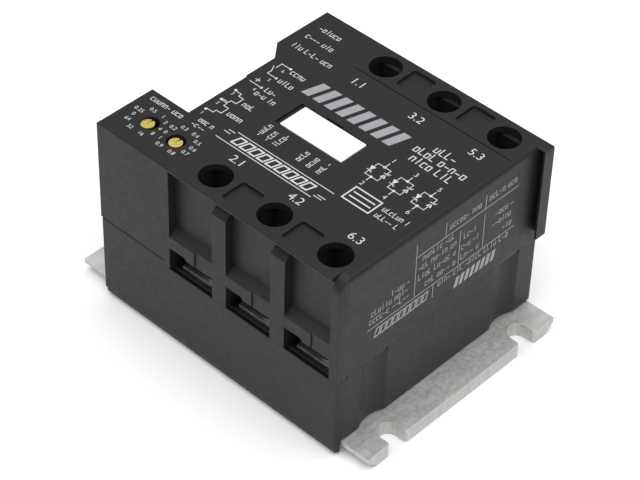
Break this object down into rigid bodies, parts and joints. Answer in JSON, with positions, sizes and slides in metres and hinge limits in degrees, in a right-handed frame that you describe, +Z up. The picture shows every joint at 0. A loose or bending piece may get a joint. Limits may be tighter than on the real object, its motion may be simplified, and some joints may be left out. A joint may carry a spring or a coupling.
{
  "type": "solid state relay",
  "caption": "Three-phase solid state relay for panel mounting: black two-shell housing on a slotted aluminium plate, screw-clamp terminals, trimmers and a side control socket.",
  "frame": {"origin": "centre of the underside of the whole part, in the plane of the base plate's underside", "axes": "+X to the right along the plate's length, seen from the load terminals; +Y from the load terminals to the line terminals; +Z up, away from the heatsink"},
  "size_m": [0.1014, 0.073, 0.0577],
  "materials": {
    "cover": "fine-grained moulded black plastic",
    "base": "moulded blue-black plastic",
    "plate": "raw, slightly mottled, sawn edges",
    "label": "blank white marking tag",
    "board": "green solder mask",
    "header": "moulded green plastic",
    "tin": "tinned copper, satin",
    "nickel": "bright nickel",
    "zinc": "zinc plated",
    "brass": "turned, slotted",
    "trimmer": "moulded blue plastic",
    "ceramic": "fired white",
    "silicon": "dark polished die",
    "chip": "moulded epoxy"
  },
  "bodies": {
    "housing": {"base_plate": "plate", "base_housing": "base", "top_cover": "cover", "marking_plate": "label", "control_board": "board", "controller_chip": "chip", "control_header": "header", "control_pin_1": "tin", "control_pin_2": "tin", "control_pin_3": "tin", "control_pin_4": "tin", "control_pin_5": "tin", "control_pin_6": "tin", "busbar_load_1": "tin", "nut_load_1": "zinc", "busbar_load_2": "tin", "nut_load_2": "zinc", "busbar_load_3": "tin", "nut_load_3": "zinc", "busbar_line_1": "tin", "nut_line_1": "zinc", "busbar_line_2": "tin", "nut_line_2": "zinc", "busbar_line_3": "tin", "nut_line_3": "zinc", "substrate_1": "ceramic", "gate_driver_1": "chip", "thyristor_1a": "silicon", "gate_pin_1a": "tin", "thyristor_1b": "silicon", "gate_pin_1b": "tin", "substrate_2": "ceramic", "gate_driver_2": "chip", "thyristor_2a": "silicon", "gate_pin_2a": "tin", "thyristor_2b": "silicon", "gate_pin_2b": "tin", "substrate_3": "ceramic", "gate_driver_3": "chip", "thyristor_3a": "silicon", "gate_pin_3a": "tin", "thyristor_3b": "silicon", "gate_pin_3b": "tin", "trimmer_case_1": "trimmer", "trimmer_case_2": "trimmer"},
    "clamp_load_1": {"clamp_load_1": "nickel"},
    "screw_load_1": {"screw_load_1": "zinc"},
    "clamp_load_2": {"clamp_load_2": "nickel"},
    "screw_load_2": {"screw_load_2": "zinc"},
    "clamp_load_3": {"clamp_load_3": "nickel"},
    "screw_load_3": {"screw_load_3": "zinc"},
    "clamp_line_1": {"clamp_line_1": "nickel"},
    "screw_line_1": {"screw_line_1": "zinc"},
    "clamp_line_2": {"clamp_line_2": "nickel"},
    "screw_line_2": {"screw_line_2": "zinc"},
    "clamp_line_3": {"clamp_line_3": "nickel"},
    "screw_line_3": {"screw_line_3": "zinc"},
    "trimmer_rotor_1": {"trimmer_rotor_1": "brass"},
    "trimmer_rotor_2": {"trimmer_rotor_2": "brass"}
  },
  "joints": [
    {"name": "clamp_lift_load_1", "type": "slide", "parent": "housing", "child": "clamp_load_1", "axis": [0, 0, 1], "range_m": [-0.0016, 0.0024]},
    {"name": "screw_turn_load_1", "type": "hinge", "parent": "clamp_load_1", "child": "screw_load_1", "pos_m": [-0.00552, -0.02998, 0.0297], "axis": [0, 0, 1], "range_deg": [-720, 1080]},
    {"name": "clamp_lift_load_2", "type": "slide", "parent": "housing", "child": "clamp_load_2", "axis": [0, 0, 1], "range_m": [-0.0016, 0.0024]},
    {"name": "screw_turn_load_2", "type": "hinge", "parent": "clamp_load_2", "child": "screw_load_2", "pos_m": [0.01416, -0.02998, 0.0297], "axis": [0, 0, 1], "range_deg": [-720, 1080]},
    {"name": "clamp_lift_load_3", "type": "slide", "parent": "housing", "child": "clamp_load_3", "axis": [0, 0, 1], "range_m": [-0.0016, 0.0024]},
    {"name": "screw_turn_load_3", "type": "hinge", "parent": "clamp_load_3", "child": "screw_load_3", "pos_m": [0.03384, -0.02998, 0.0297], "axis": [0, 0, 1], "range_deg": [-720, 1080]},
    {"name": "clamp_lift_line_1", "type": "slide", "parent": "housing", "child": "clamp_line_1", "axis": [0, 0, 1], "range_m": [-0.0016, 0.0024]},
    {"name": "screw_turn_line_1", "type": "hinge", "parent": "clamp_line_1", "child": "screw_line_1", "pos_m": [-0.00552, 0.02998, 0.0297], "axis": [0, 0, 1], "range_deg": [-720, 1080]},
    {"name": "clamp_lift_line_2", "type": "slide", "parent": "housing", "child": "clamp_line_2", "axis": [0, 0, 1], "range_m": [-0.0016, 0.0024]},
    {"name": "screw_turn_line_2", "type": "hinge", "parent": "clamp_line_2", "child": "screw_line_2", "pos_m": [0.01416, 0.02998, 0.0297], "axis": [0, 0, 1], "range_deg": [-720, 1080]},
    {"name": "clamp_lift_line_3", "type": "slide", "parent": "housing", "child": "clamp_line_3", "axis": [0, 0, 1], "range_m": [-0.0016, 0.0024]},
    {"name": "screw_turn_line_3", "type": "hinge", "parent": "clamp_line_3", "child": "screw_line_3", "pos_m": [0.03384, 0.02998, 0.0297], "axis": [0, 0, 1], "range_deg": [-720, 1080]},
    {"name": "trimmer_turn_1", "type": "hinge", "parent": "housing", "child": "trimmer_rotor_1", "pos_m": [-0.03165, -0.0277, 0.0572], "axis": [0, 0, 1], "range_deg": [-135, 135]},
    {"name": "trimmer_turn_2", "type": "hinge", "parent": "housing", "child": "trimmer_rotor_2", "pos_m": [-0.0216, -0.02785, 0.0572], "axis": [0, 0, 1], "range_deg": [-135, 135]}
  ],
  "couplings": [
    {"joint": "screw_turn_load_1", "follows": "clamp_lift_load_1", "rad_per_m": 7854},
    {"joint": "screw_turn_load_2", "follows": "clamp_lift_load_2", "rad_per_m": 7854},
    {"joint": "screw_turn_load_3", "follows": "clamp_lift_load_3", "rad_per_m": 7854},
    {"joint": "screw_turn_line_1", "follows": "clamp_lift_line_1", "rad_per_m": 7854},
    {"joint": "screw_turn_line_2", "follows": "clamp_lift_line_2", "rad_per_m": 7854},
    {"joint": "screw_turn_line_3", "follows": "clamp_lift_line_3", "rad_per_m": 7854}
  ]
}
